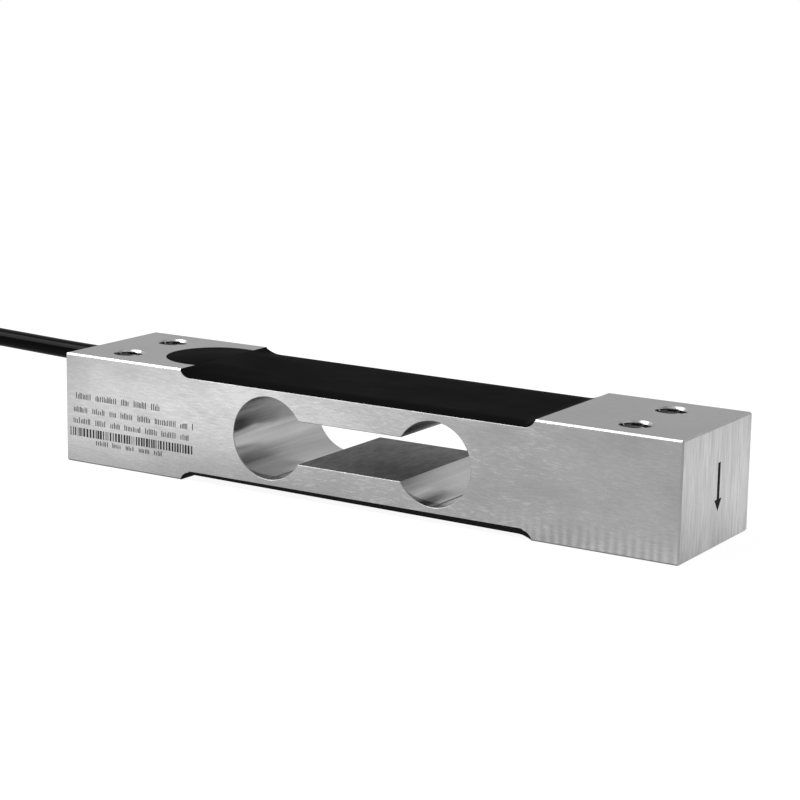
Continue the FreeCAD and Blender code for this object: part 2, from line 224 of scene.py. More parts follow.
beam = {
    # how deep the chamfers are: the long top ones, the others outside, and those of recesses and window
    "topEdge": 0.31 * mm,
    "otherEdge": 0.3 * mm,
    "recessEdge": 0.09 * mm,
    "arcEdge": 0.06 * mm,
    "arcStart": 0.15,           # share of the arc by which the recess's chamfer has become the arc's
    "windowEdge": 0.10 * mm,
    "recessHalf": 37.5 * mm,
    "recessDepth": 1.6 * mm,
    "recessRadius": 2.2 * mm,   # of the arcs at its ends
    "arcPoints": 13,
    "boreX": 17.5 * mm,
    "boreRadius": 7.7 * mm,
    "borePoints": 110,
    "slotHalf": 4.0 * mm,
    "threadCore": 2.5 * mm,
    "threadDepth": 0.5 * mm,
    "threadPitch": 1.0 * mm,
    "threadFlat": 0.12,         # share of the pitch that is flat at the crest, and again at the root
    "threadStart": 0.12 * mm,   # from the face to the first of the groove
    "threadRunIn": 0.2 * mm,    # from there to its full depth
    "threadTurn": 0.29,         # share of a turn by which the whole thread is turned
    "sinkRadius": 3.15 * mm,
    "pocketRadius": 9.6 * mm,
    "pocketSegments": 128,
    "wireWay": (6.4 * mm, -4.2 * mm),   # from the pocket's middle
    "wireWayRadius": 1.5 * mm,
    "cableBoreRadius": 1.9 * mm,
    "sealRadius": 2.3 * mm,
    "sealDepth": 1.5 * mm,
}
boardLow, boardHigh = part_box("circuit_board")
pocketX = (boardLow.x + boardHigh.x) / 2
pocketFloor = boardLow.z
cableLow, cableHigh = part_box("cable_in_bore")
exitPoint = Vector((cableLow.x, 0, (cableLow.z + cableHigh.z) / 2))
recessFloor = height - beam["recessDepth"]
middleZ = height / 2
# where the arc at the end of a recess has its middle
arcRise = beam["recessRadius"] - beam["recessDepth"]
recessArcX = beam["recessHalf"] - math.sqrt(beam["recessRadius"] ** 2 - arcRise ** 2)
print("beam sizes worked out")

machining = {
    "nickCut": (0.63, 0.68),        # of the nick noise, from none to a whole nick
    "nickBands": (0.42, 0.55),      # of the band noise, where nicks lie
    "nickDepth": 0.4,
    "reliefRange": (0.2, 0.8),
    "roughSpread": 0.06,            # rougher in the hollows and smoother on the ridges, by so much
}


def makeMachinedGroup():
    # fine lines, clusters of small bright nicks and soft clouds, each with its own number a metre
    group = bpy.data.node_groups.new("machinedLines", "ShaderNodeTree")
    for name in ("Place", "Lines", "Nicks", "Bands"):
        group.interface.new_socket(name, in_out="INPUT", socket_type="NodeSocketVector")
    for name in ("Line Strength", "Nick Strength", "Band Strength"):
        group.interface.new_socket(name, in_out="INPUT", socket_type="NodeSocketFloat")
    for name in ("Tone", "Height"):
        group.interface.new_socket(name, in_out="OUTPUT", socket_type="NodeSocketFloat")
    given = addNode(group, "NodeGroupInput").outputs
    place = given["Place"]
    lines = addNoise(group, place, given["Lines"], 1.0, 4.0, 0.65)
    bands = addNoise(group, place, given["Bands"], 1.0, 2.0, 0.5)
    spots = addNoise(group, place, given["Nicks"], 1.0, 0.0, 0.5)
    spots = mapRange(group, spots, *machining["nickCut"], 0.0, 1.0)
    nicks = addMath(group, "MULTIPLY", spots, mapRange(group, bands, *machining["nickBands"], 0.0, 1.0))
    lineTone = mapRange(group, lines, *usualNoise, -1.0, 1.0)
    lineTone = addMath(group, "MULTIPLY", lineTone, given["Line Strength"])
    bandTone = mapRange(group, bands, *usualNoise, -1.0, 1.0)
    bandTone = addMath(group, "MULTIPLY", bandTone, given["Band Strength"])
    nickTone = addMath(group, "MULTIPLY", nicks, given["Nick Strength"])
    tone = addMath(group, "ADD", addMath(group, "ADD", lineTone, bandTone), nickTone)
    relief = addMath(group, "SUBTRACT", lines, addMath(group, "MULTIPLY", nicks, machining["nickDepth"]))
    addNode(group, "NodeGroupOutput", {"Tone": addMath(group, "ADD", tone, 1.0), "Height": relief})
    return group


machinedLines = makeMachinedGroup()

# how many lines, nicks and bands a metre along x, y and z; how strong each of them is;
# then grey, roughness and relief in mm. Besides the finish, the greys paint light and shade face by face: the
# top darker than the front and the end, the chamfers and rims darker to dim their highlights, and the slot
# floor and the threads dark as painted shade inside the window and the holes
finishes = {
    "faceMetal": {"lines": (600, 900, 3600), "nicks": (680, 900, 4200), "bands": (80, 90, 140),
                  "strengths": (0.08, 0.42, 0.08), "grey": 0.84, "roughness": 0.29, "relief": 0.003},
    "endMetal": {"lines": (900, 3000, 150), "nicks": (900, 2500, 300), "bands": (300, 420, 60),
                 "strengths": (0.18, 0.10, 0.04), "grey": 0.78, "roughness": 0.38, "relief": 0.005},
    # painted shade: the top is greyer than the front and the end
    "topMetal": {"lines": (500, 900, 900), "nicks": (900, 900, 900), "bands": (60, 60, 60),
                 "strengths": (0.03, 0.0, 0.03), "grey": 0.65, "roughness": 0.38, "relief": 0.002},
    "boreMetal": {"lines": (1600, 40, 1600), "nicks": (900, 60, 900), "bands": (150, 8, 150),
                  "strengths": (0.08, 0.0, 0.30), "grey": 0.78, "roughness": 0.18, "relief": 0.003},
    # painted shade: the slot floor inside the window is dark
    "slotMetal": {"lines": (900, 300, 900), "nicks": (900, 300, 900), "bands": (160, 110, 160),
                  "strengths": (0.28, 0.30, 0.22), "grey": 0.19, "roughness": 0.42, "relief": 0.006},
    # painted shade: the long top chamfers are darker to dim their highlight
    "edgeMetal": {"lines": (700, 700, 700), "nicks": (900, 900, 900), "bands": (200, 200, 200),
                  "strengths": (0.05, 0.0, 0.03), "grey": 0.50, "roughness": 0.40, "relief": 0.001},
    "cornerMetal": {"lines": (700, 700, 700), "nicks": (900, 900, 900), "bands": (200, 200, 200),
                    "strengths": (0.05, 0.0, 0.05), "grey": 0.70, "roughness": 0.42, "relief": 0.001},
    # painted shade: the rims are darker to dim their highlights
    "rimMetal": {"lines": (700, 700, 700), "nicks": (900, 900, 900), "bands": (200, 200, 200),
                 "strengths": (0.05, 0.0, 0.05), "grey": 0.48, "roughness": 0.60, "relief": 0.001},
    "sinkMetal": {"lines": (900, 900, 900), "nicks": (900, 900, 900), "bands": (700, 700, 700),
                  "strengths": (0.14, 0.0, 0.30), "grey": 0.66, "roughness": 0.26, "relief": 0.002},
    # painted shade: the threads inside the holes are dark
    "threadMetal": {"lines": (900, 900, 2500), "nicks": (900, 900, 900), "bands": (500, 500, 500),
                    "strengths": (0.10, 0.0, 0.30), "grey": 0.16, "roughness": 0.22, "relief": 0.001},
}

chatter = {
    "pitch": 1.7 * mm,
    "foot": 0.5 * mm,       # strongest from the foot down, and gone at the top
    "top": 5.5 * mm,
    "start": 22 * mm,       # along x, from the first marks to full ones
    "full": 42 * mm,
    "strength": 0.14,
    "wobble": 5.0,          # radians by which the marks stray
}


def chatterTone(tree, place):
    # the cutter's even upright marks low down on the loaded end, fading in along the bar and out upwards
    axes = addNode(tree, "ShaderNodeSeparateXYZ", {"Vector": place}).outputs
    wobble = addMath(tree, "MULTIPLY", addNoise(tree, place, (300, 1, 120)), chatter["wobble"])
    turns = addMath(tree, "MULTIPLY_ADD", axes["X"], 2 * math.pi / chatter["pitch"], wobble)
    wave = addMath(tree, "SINE", turns)
    low = mapRange(tree, axes["Z"], chatter["top"], chatter["foot"], 0.0, 1.0)
    far = mapRange(tree, axes["X"], chatter["start"], chatter["full"], 0.0, 1.0)
    share = addMath(tree, "MULTIPLY", low, far)
    return addMath(tree, "MULTIPLY", addMath(tree, "MULTIPLY", share, wave), chatter["strength"])


# painted reflections and shade in each bore: dark and light stretches round it by angle, which are strongest
# at its mouth and fade inwards, and a painted shade patch, darker with a clear edge at the foot of the mouth,
# deepest at its middle
paintedBoreShade = {
    # degrees from the right over the top, and the tone there, where 1 changes nothing
    "stretches": ((100, 1.1), (110, 0.9), (120, 0.4), (140, 0.3), (150, 0.5), (160, 0.2), (173, 0.2),
                  (180, 1.1), (190, 1.3), (204, 1.0), (216, 0.6), (232, 0.75), (248, 0.75), (257, 0.65),
                  (268, 0.8), (280, 1.05), (360, 1.0)),
    "wander": 0.08,             # share of a turn by which they stray
    "mouth": -12 * mm,          # along y
    "mouthStrength": 2.4,
    "inside": 2 * mm,
    "insideStrength": 0.5,
    "patchTurn": 0.745,         # the share of a turn at which its middle lies
    "patchLean": 30 * mm,       # by which its edge would come nearer the mouth over a whole turn
    "patchEdge": (-10.9 * mm, -10.3 * mm),
    "patchTone": 0.5,
    "darkest": 0.1,
}


def paintedBoreTone(tree, place):
    # painted reflections as a curve over the angle round the nearer bore, less the painted shade patch
    axes = addNode(tree, "ShaderNodeSeparateXYZ", {"Vector": place}).outputs
    side = addMath(tree, "SIGN", axes["X"])
    across = addMath(tree, "MULTIPLY_ADD", side, -beam["boreX"], axes["X"])
    leftward = addMath(tree, "MULTIPLY", across, -1.0)
    angle = addMath(tree, "ARCTAN2", addMath(tree, "SUBTRACT", middleZ, axes["Z"]), leftward)
    wander = addNoise(tree, place, (60, 60, 60))
    wander = addMath(tree, "MULTIPLY_ADD", wander, paintedBoreShade["wander"], -paintedBoreShade["wander"] / 2)
    turn = addMath(tree, "ADD", mapRange(tree, angle, -math.pi, math.pi, 0.0, 1.0), wander)
    curve = addNode(tree, "ShaderNodeFloatCurve", {"Value": turn})
    points = curve.mapping.curves[0].points
    for degrees, tone in paintedBoreShade["stretches"]:
        points.new(degrees / 360, tone / 2)
    curve.mapping.update()
    depth = mapRange(tree, axes["Y"], paintedBoreShade["mouth"], paintedBoreShade["inside"],
                     paintedBoreShade["mouthStrength"], paintedBoreShade["insideStrength"])
    paintedReflection = addMath(tree, "MULTIPLY", addMath(tree, "SUBTRACT", curve.outputs[0], 0.5), depth)
    off = addMath(tree, "ABSOLUTE", addMath(tree, "SUBTRACT", turn, paintedBoreShade["patchTurn"]))
    inside = addMath(tree, "MULTIPLY_ADD", off, paintedBoreShade["patchLean"], axes["Y"])
    patch = mapRange(tree, inside, *paintedBoreShade["patchEdge"], paintedBoreShade["patchTone"], 0.0)
    return addMath(tree, "SUBTRACT", paintedReflection, patch)


# nicks are thick round the window and thin out towards both ends of the front
nickSpread = {"middle": 5 * mm, "near": 20 * mm, "far": 40 * mm, "nearStrength": 0.6, "farStrength": 0.04}


def nickStrength(tree, place):
    along = addNode(tree, "ShaderNodeSeparateXYZ", {"Vector": place}).outputs["X"]
    away = addMath(tree, "ABSOLUTE", addMath(tree, "SUBTRACT", along, nickSpread["middle"]))
    return mapRange(tree, away, nickSpread["near"], nickSpread["far"],
                    nickSpread["nearStrength"], nickSpread["farStrength"])


def makeMetal(name, finish):
    material, tree, shader = newMaterial(name)
    place = objectPlace(tree)
    machined = addNode(tree, "ShaderNodeGroup", node_tree=machinedLines)
    tree.links.new(place, machined.inputs["Place"])
    for socket in ("Lines", "Nicks", "Bands"):
        machined.inputs[socket].default_value = finish[socket.lower()]
    for socket, strength in zip(("Line Strength", "Nick Strength", "Band Strength"), finish["strengths"]):
        machined.inputs[socket].default_value = strength
    tone = machined.outputs["Tone"]
    if name == "faceMetal":
        tree.links.new(nickStrength(tree, place), machined.inputs["Nick Strength"])
        tone = addMath(tree, "ADD", tone, chatterTone(tree, place))
    # the bores get painted reflections and painted shade on top of their own finish
    if name == "boreMetal":
        tone = addMath(tree, "ADD", tone, paintedBoreTone(tree, place))
        tone = addMath(tree, "MAXIMUM", tone, paintedBoreShade["darkest"])
    tree.links.new(toneColour(tree, tone, (finish["grey"],) * 3), shader.inputs["Base Color"])
    relief = machined.outputs["Height"]
    rough, spread = finish["roughness"], machining["roughSpread"]
    rough = mapRange(tree, relief, *machining["reliefRange"], rough + spread, rough - spread)
    tree.links.new(rough, shader.inputs["Roughness"])
    dented = addNode(tree, "ShaderNodeBump", {"Height": relief, "Distance": finish["relief"] * mm})
    tree.links.new(dented.outputs["Normal"], shader.inputs["Normal"])
    shader.inputs["Metallic"].default_value = 1.0
    return material


metals = {name: makeMetal(name, finish) for name, finish in finishes.items()}
print("metal shaders:", len(metals))


def outlineQuarter(edge, floorEdge, drawn):
    # from the middle of a recess out to the end of the bar: the recess floor's end, which is an arc, and a
    # cut corner; drawn in by the chamfer where drawn is 1; also how deep the chamfer is at each point
    other = beam["otherEdge"]
    x, z, cut = halfLength - other * drawn, height - edge * drawn, other * (1 - drawn)
    centreZ = recessFloor + beam["recessRadius"]
    share = np.linspace(0, 1, beam["arcPoints"])
    deep = np.interp(share, [0, beam["arcStart"]], [floorEdge, beam["arcEdge"]])
    radius = beam["recessRadius"] + deep * drawn
    rim = math.asin((height - edge - centreZ) / radius[-1])
    angle = -np.pi / 2 + share * (rim + np.pi / 2)
    mouth = rim if drawn else math.asin((height - centreZ) / beam["recessRadius"])
    angle, radius = np.append(angle, mouth), np.append(radius, radius[-1])
    arcX, arcZ = recessArcX + radius * np.cos(angle), centreZ + radius * np.sin(angle)
    depth = np.concatenate([deep, [edge, edge, other]])
    return np.concatenate([arcX, [x - cut, x]]), np.concatenate([arcZ, [z, z - cut]]), depth


def barBlank():
    # the bar as four closed outlines seen from the front: drawn in on its face, then whole, and so behind
    loops = []
    for drawn, side in ((1, -1), (0, -1), (0, 1), (1, 1)):
        topX, topZ, topDepth = outlineQuarter(beam["topEdge"], beam["recessEdge"], drawn)
        lowX, lowZ, lowDepth = outlineQuarter(beam["otherEdge"], beam["otherEdge"], drawn)
        x = np.concatenate([-topX[::-1], topX, lowX[::-1], -lowX])
        z = np.concatenate([topZ[::-1], topZ, height - lowZ[::-1], height - lowZ])
        depth = np.concatenate([topDepth[::-1], topDepth, lowDepth[::-1], lowDepth])
        loops.append(np.stack([x, side * (halfWidth - depth * (1 - drawn)), z], axis=-1))
    return lofted("beamBar", np.array(loops))


def windowCutter():
    # two circles joined by a slot, carried across the bar and flared where it breaks the faces
    flare = beam["windowEdge"]
    loops = []
    for y in (-halfWidth - mm, -halfWidth + flare, halfWidth - flare, halfWidth + mm):
        grow = max(0, abs(y) - halfWidth + flare)
        radius, half = beam["boreRadius"] + grow, beam["slotHalf"] + grow
        turn = math.asin(half / radius)
        angle = np.linspace(turn - np.pi, np.pi - turn, beam["borePoints"])
        x = beam["boreX"] + radius * np.cos(angle)
        z = middleZ + radius * np.sin(angle)
        x, z = np.concatenate([x, -x]), np.concatenate([z, 2 * middleZ - z])
        loops.append(np.stack([x, np.full_like(x, y), z], axis=-1))
    return lofted("windowCutter", np.array(loops))


def threadCutter(x, y):
    # radius over angle and height: a trapezium wave that climbs one pitch a turn, run in from a cone at each
    # mouth
    segments, perPitch = 48, 8
    pitch, flat = beam["threadPitch"], beam["threadFlat"]
    z = np.arange(-mm, height + mm + pitch / perPitch / 2, pitch / perPitch)[:, None]
    angle = np.linspace(0, 2 * np.pi, segments, endpoint=False)[None, :]
    phase = (z / pitch - angle / (2 * np.pi) + beam["threadTurn"]) % 1
    groove = np.clip((1 - np.abs(2 * phase - 1) - flat) / (1 - 2 * flat), 0, 1)
    inside = np.minimum(z, height - z)
    cone = beam["sinkRadius"] - inside
    full = ((inside - beam["threadStart"]) / beam["threadRunIn"]).clip(0, 1)
    radius = np.maximum(beam["threadCore"] + beam["threadDepth"] * groove * full, cone)
    points = np.stack([x + radius * np.cos(angle), y + radius * np.sin(angle), z + 0 * radius], axis=-1)
    return lofted("threadCutter", points)


def rodAlongX(name, x0, x1, radius, segments=64):
    # two circles at the height of the cable, joined
    angle = np.linspace(0, 2 * np.pi, segments, endpoint=False)
    y, z = radius * np.cos(angle), exitPoint.z + radius * np.sin(angle)
    loops = [np.stack([np.full_like(y, x), y, z], axis=-1) for x in (x0, x1)]
    return lofted(name, np.array(loops))


threadPlaces = [m["pos_m"] for m in mounts if m["kind"] == "threaded_hole"]
bar = barBlank()
wayPlace = (pocketX + beam["wireWay"][0], beam["wireWay"][1])
cutters = [windowCutter()]
cutters += [threadCutter(x, y) for x, y, _ in threadPlaces]
cutters.append(turned("pocketCutter", (pocketX, 0), [pocketFloor, height + mm], [beam["pocketRadius"]] * 2,
                      beam["pocketSegments"]))
cutters.append(turned("wayCutter", wayPlace, [-mm, pocketFloor + mm], [beam["wireWayRadius"]] * 2, 48))
cutters.append(rodAlongX("cableBoreCutter", -halfLength - mm, pocketX, beam["cableBoreRadius"]))
cutters.append(rodAlongX("sealCutter", -halfLength - mm, -halfLength + beam["sealDepth"], beam["sealRadius"]))
combine(bar, cutters, "DIFFERENCE")
smoothShade(bar, sharpDegrees=28)


def finishBeam():
    # each face of the bar gets the finish of the cut that made it, told by its place and the way it faces;
    # the finishes' greys also paint light and shade face by face
    mesh = bar.data
    names = list(metals)
    mesh.materials.clear()
    for name in names:
        mesh.materials.append(metals[name])
    count = len(mesh.polygons)
    normal, centre = np.empty(count * 3), np.empty(count * 3)
    mesh.polygons.foreach_get("normal", normal)
    mesh.polygons.foreach_get("center", centre)
    normal, centre = normal.reshape(-1, 3), centre.reshape(-1, 3)
    slack = 0.02 * mm
    x, y, z = np.abs(centre[:, 0]), np.abs(centre[:, 1]), centre[:, 2]
    fromMiddle = np.abs(z - middleZ)
    flat = np.abs(normal) > 0.999

    finish = np.full(count, names.index("cornerMetal"))
    finish[(x < halfLength - mm) & ~flat.any(axis=1)] = names.index("rimMetal")
    finish[flat[:, 1] & (y > halfWidth - slack)] = names.index("faceMetal")
    finish[flat[:, 0] & (x > halfLength - slack)] = names.index("endMetal")
    outside = fromMiddle > middleZ - beam["recessDepth"] - slack
    finish[flat[:, 2] & outside] = names.index("topMetal")

    longEdge = (np.abs(normal[:, 1]) > 0.3) & (normal[:, 2] > 0.3) & (y > halfWidth - beam["topEdge"])
    finish[longEdge & (z > height - beam["topEdge"])] = names.index("edgeMetal")

    inWindow = (x < beam["boreX"] + beam["boreRadius"] + slack) & (y < halfWidth - beam["windowEdge"])
    inWindow &= fromMiddle < beam["boreRadius"] + slack
    finish[inWindow] = names.index("boreMetal")
    finish[inWindow & flat[:, 2]] = names.index("slotMetal")

    places = np.array([place[:2] for place in threadPlaces])
    away = np.linalg.norm(centre[:, None, :2] - places[None], axis=2).min(axis=1)
    inHole = (away < beam["sinkRadius"] + slack) & ~(flat[:, 2] & (fromMiddle > middleZ - slack))
    finish[inHole] = names.index("threadMetal")
    atMouth = fromMiddle > middleZ - beam["sinkRadius"] + beam["threadCore"]
    cone = np.abs(np.abs(normal[:, 2]) - math.sqrt(0.5)) < 0.02
    finish[inHole & atMouth & cone] = names.index("sinkMetal")
    mesh.polygons.foreach_set("material_index", finish)
    mesh.update()


finishBeam()
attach(bar, "root")
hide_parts("beam_body")
print("beam:", len(bar.data.polygons), "faces")


# the cable

cable = {
    "diameter": 3.6 * mm,
    "route": [(0, 0, 0), (-6, 0, 0), (-36, 0, 1), (-55, -10.4, -13.2), (-78, -12, -16.2)],  # mm from the exit
    "straightTo": 0.7,          # share of the second leg
    "coilRadius": 18.2 * mm,
    "windings": 2 + 215 / 360,
    "pointsPerTurn": 16,
    "rampStart": 275,           # degrees of each turn between which it climbs onto the next layer
    "rampEnd": 327,
}


def cablePoints():
    # the free run, then a ring of points a little outside the turns, rising a diameter before each new layer
    run = np.array(exitPoint) + np.array(cable["route"]) * mm
    # one more point in the second leg keeps it straight up to there
    run = np.insert(run, 2, run[1] + cable["straightTo"] * (run[2] - run[1]), axis=0)
    last = run[-1]
    step = 360 / cable["pointsPerTurn"]
    total = 360 * cable["windings"]
    wound = np.append(np.arange(step / 2, total, step), total)
    radius = np.full(len(wound), cable["coilRadius"] / math.cos(math.radians(step / 2)))
    radius[-1] = cable["coilRadius"]
    layer, within = np.divmod(wound, 360)
    ramp = np.clip((within - cable["rampStart"]) / (cable["rampEnd"] - cable["rampStart"]), 0, 1)
    angle = np.radians(-90 - wound)
    x = last[0] + radius * np.cos(angle)
    y = last[1] + cable["coilRadius"] + radius * np.sin(angle)
    z = last[2] + cable["diameter"] * (layer + ramp)
    return np.vstack([run, np.stack([x, y, z], axis=-1)])


def smoothCurve(name, points, radius):
    curve = bpy.data.curves.new(name, "CURVE")
    curve.dimensions = "3D"
    spline = curve.splines.new("NURBS")
    spline.points.add(len(points) - 1)
    spline.points.foreach_set("co", np.hstack([points, np.ones((len(points), 1))]).ravel())
    spline.points.foreach_set("radius", [radius] * len(points))
    spline.order_u = 3
    spline.use_endpoint_u = True
    spline.resolution_u = 10
    curve.bevel_depth = 1.0     # times each point's radius, which a curve's box is grown by
    curve.bevel_resolution = 8
    curve.use_fill_caps = True
    piece = bpy.data.objects.new(name, curve)
    bpy.context.scene.collection.objects.link(piece)
    return piece


freeCable = smoothCurve("freeCable", cablePoints(), cable["diameter"] / 2)
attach(freeCable, "root")
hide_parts("cable_run", "cable_coil")
print("cable laid")


# the sealing compound

compound = {
    # above: how high it stands at the cable's end and the loaded end, and how much lower in front and behind
    "height": (0.78 * mm, 0.58 * mm),
    "sideDrop": (0.64 * mm, 0.36 * mm),
    "shoulder": 3.5 * mm,       # from a side to where that drop begins
    "roundedSide": 0.6 * mm,
    "meniscus": 3.6 * mm,       # how far from an end it begins to rise
    "pourReach": 24.0 * mm,     # the same, where it slopes up to the filled pocket
    "pourBlend": 4.5 * mm,      # to either side of the pocket's edges, from meniscus to slope
    # below: how deep it is at the same ends
    "below": (0.32 * mm, 0.82 * mm),
    "belowMeniscus": 2.8 * mm,
    "belowRoundedSide": 0.3 * mm,
    "lipFade": 0.5 * mm,        # towards the ends, where it no longer fills the cut edge
    # what it keeps clear of the metal: at the recess's ends, at the sides above and below, and in the pocket
    "endGap": 0.02 * mm,
    "sideGap": 0.1 * mm,
    "faceGap": 0.02 * mm,
    "pocketGap": 0.01 * mm,
    "pocketDip": 0.05 * mm,
    "pocketBevel": (0.06 * mm, 0.02 * mm),
}


def pouredLayer(half, reach, sideRound, body, lift, lip=None):
    # a closed skin over a recess, with heights from its floor: the free surface stands body high and is
    # lifted to the rim at both ends, and the underside follows the floor, its end arcs and, by lip, the
    # floor's cut edge
    atEnd, between, across = 34, 40, 81     # points of the grid
    depth, arc = beam["recessDepth"], beam["recessRadius"]
    end = beam["recessHalf"] - compound["endGap"]
    ramp = 1 - np.cos(np.linspace(0, np.pi / 2, atEnd))
    x = np.concatenate([-end + reach * ramp, np.linspace(-end + reach, end - reach, between)[1:-1],
                        (end - reach * ramp)[::-1]])[:, None]
    y = half * np.sin(np.linspace(-np.pi / 2, np.pi / 2, across))[None, :]
    floor = arc - np.sqrt(arc ** 2 - (np.abs(x) - recessArcX).clip(0) ** 2)
    surface = body(x, y)
    surface = np.maximum(surface + (depth - surface) * lift(x, y, end), floor)
    side = 1 - ((half - np.abs(y)) / sideRound).clip(0, 1)
    under = np.minimum(floor, surface)
    if lip:
        under = under - lip(x, y)
    top = under + (surface - under) * np.sqrt(1 - side ** 2)
    loopX = np.repeat(x, 2 * y.size, axis=1)
    loopY = np.repeat(np.concatenate([y, y[:, ::-1]], axis=1), len(x), axis=0)
    return np.stack([loopX, loopY, np.concatenate([top, under[:, ::-1]], axis=1)], axis=-1)


def nearEnd(x, end, reach):
    # 0 until reach from the end of the recess, 1 at its rim
    return ((np.abs(x) - end) / reach + 1).clip(0, 1)


def topCompound():
    half = halfWidth - compound["sideGap"]

    def body(x, y):
        share = ((half - np.abs(y)) / compound["shoulder"]).clip(0, 1)
        middle = np.interp(x, [-beam["recessHalf"], beam["recessHalf"]], compound["height"])
        return middle - np.where(y < 0, *compound["sideDrop"]) * (1 - share) ** 2

    def lift(x, y, end):
        # a hollow meniscus, but an even slope up to the filled pocket, with a smooth step between the two
        hollow = 1 - np.cos(nearEnd(x, end, compound["meniscus"]) * np.pi / 2)
        slope = (1 - np.cos(nearEnd(x, end, compound["pourReach"]) * np.pi)) / 2
        blend = ((beam["pocketRadius"] - np.abs(y)) / compound["pourBlend"]).clip(-1, 1)
        share = (0.5 + 0.75 * blend - 0.25 * blend ** 3) * (x < 0)
        return hollow + (slope - hollow) * share

    loops = pouredLayer(half, compound["pourReach"], compound["roundedSide"], body, lift)
    loops[..., 2] += recessFloor
    layer = lofted("topCompound", loops)
    rim = height - compound["pocketDip"]
    radius = beam["pocketRadius"] - compound["pocketGap"]
    inward, down = compound["pocketBevel"]
    heights, radii = [pocketFloor, rim - down, rim], [radius, radius, radius - inward]
    plug = turned("pocketFill", (pocketX, 0), heights, radii, beam["pocketSegments"])
    combine(plug, [barBlank()], "INTERSECT")
    joinTo(layer, plug)
    return layer


def bottomCompound():
    # flush with the faces, where it fills the cut edge of the recess floor
    half = halfWidth - compound["faceGap"]
    first, last = compound["below"]

    def body(x, y):
        return first + (last - first) * (x / beam["recessHalf"] + 1) / 2 + 0 * y

    def lift(x, y, end):
        return 1 - np.cos(nearEnd(x, end, compound["belowMeniscus"]) * np.pi / 2) + 0 * y

    def lip(x, y):
        fade = ((recessArcX - np.abs(x)) / compound["lipFade"]).clip(0, 1)
        return (np.abs(y) - halfWidth + beam["otherEdge"]).clip(0) * fade

    loops = pouredLayer(half, compound["belowMeniscus"], compound["belowRoundedSide"], body, lift, lip)
    loops[..., 2] = beam["recessDepth"] - loops[..., 2]
    return lofted("bottomCompound", loops)


blackCompound = makeSoft("blackCompound", (0.0060, 0.0060, 0.0063), 0.36, specular=0.0012, grain=1500.0,
                         bump=0.001)
lowerCompound = makeSoft("lowerCompound", (0.0095, 0.0095, 0.0098), 0.60, specular=0.05, grain=1500.0,
                         bump=0.002)
for piece, node, material in ((topCompound(), "top_potting", blackCompound),
                              (bottomCompound(), "bottom_potting", lowerCompound)):
    smoothShade(piece, sharpDegrees=40)
    dress(piece, material)
    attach(piece, "root")
    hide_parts(node)


seal = {"gap": 0.01 * mm, "sunk": 0.05 * mm, "sag": 0.35 * mm}


def exitSeal():
    # a ring round the cable whose face sags from the rim of its seat to the jacket
    radius, inner = beam["sealRadius"] - seal["gap"], cable["diameter"] / 2
    rings, segments = 9, 64
    share = np.linspace(0, 1, rings)
    sag = seal["sunk"] + seal["sag"] * np.sin(np.pi * share)
    inward = np.concatenate([[beam["sealDepth"]] * 2, sag])[:, None]
    around = np.concatenate([[inner, radius], radius + (inner - radius) * share])[:, None]
    angle = np.linspace(0, 2 * np.pi, segments, endpoint=False)
    x = -halfLength + inward + 0 * angle
    points = np.stack([x, around * np.cos(angle), exitPoint.z + around * np.sin(angle)], axis=-1)
    quads = gridQuads(len(inward), len(angle), wrapColumns=True)
    piece = newPiece("exitSeal", points, quads.tolist())
    faceOutwards(piece)
    return piece


sealRing = exitSeal()
smoothShade(sealRing, sharpDegrees=40)
dress(sealRing, blackCompound)
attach(sealRing, "root")
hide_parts("cable_exit_sealant")
print("compound poured")


# the marking

marking = {
    "thickness": 0.01 * mm,
    # all below is in mm, from the bar's middle and its underside: start, end, foot and height of each row
    "rows": ((-62.5, -42.2, 12.5, 1.3), (-63.1, -34.6, 9.9, 1.2),
             (-63.2, -35.5, 7.7, 1.2), (-57.7, -41.8, 3.9, 1.0)),
    "group": (1.6, 5.0),                    # the shortest and the longest group of ticks
    "groupGap": 1.0,
    "tick": 0.19,
    "tickPitch": (0.32, 0.52),
    "tickShare": (0.62, 1.0),               # of the row's height
    "strip": (-64.0, -34.7, 5.2, 6.85),     # start, end, foot and top
    "barWidth": (0.14, 0.5),
    "barGap": (0.14, 0.4),
    # the arrow's place across the end, top and tip, and its head's length, half width and shaft's half width
    "arrow": (0.8, 14.8, 6.3, 2.1, 1.45, 0.5),
    "seed": 7,
}


def thinPlates(name, outlines, origin, along, up, outward):
    # flat closed outlines on a face of the bar, given in millimetres along and up it, as plates a hair thick
    points, faces = [], []
    origin, along, up, outward = (np.array(v, float) for v in (origin, along, up, outward))
    for outline in outlines:
        flat = origin + np.outer(outline[:, 0] * mm, along) + np.outer(outline[:, 1] * mm, up)
        first, count = len(points), len(outline)
        points.extend(flat - outward * marking["thickness"] / 2)
        points.extend(flat + outward * marking["thickness"] / 2)
        low = np.arange(first, first + count)
        faces += [low[::-1].tolist(), (low + count).tolist()]
        faces += (first + gridQuads(2, count, wrapColumns=True)).tolist()
    piece = newPiece(name, points, faces)
    faceOutwards(piece)
    return piece


def rectangle(x0, x1, z0, z1):
    return np.array([(x0, z0), (x1, z0), (x1, z1), (x0, z1)])


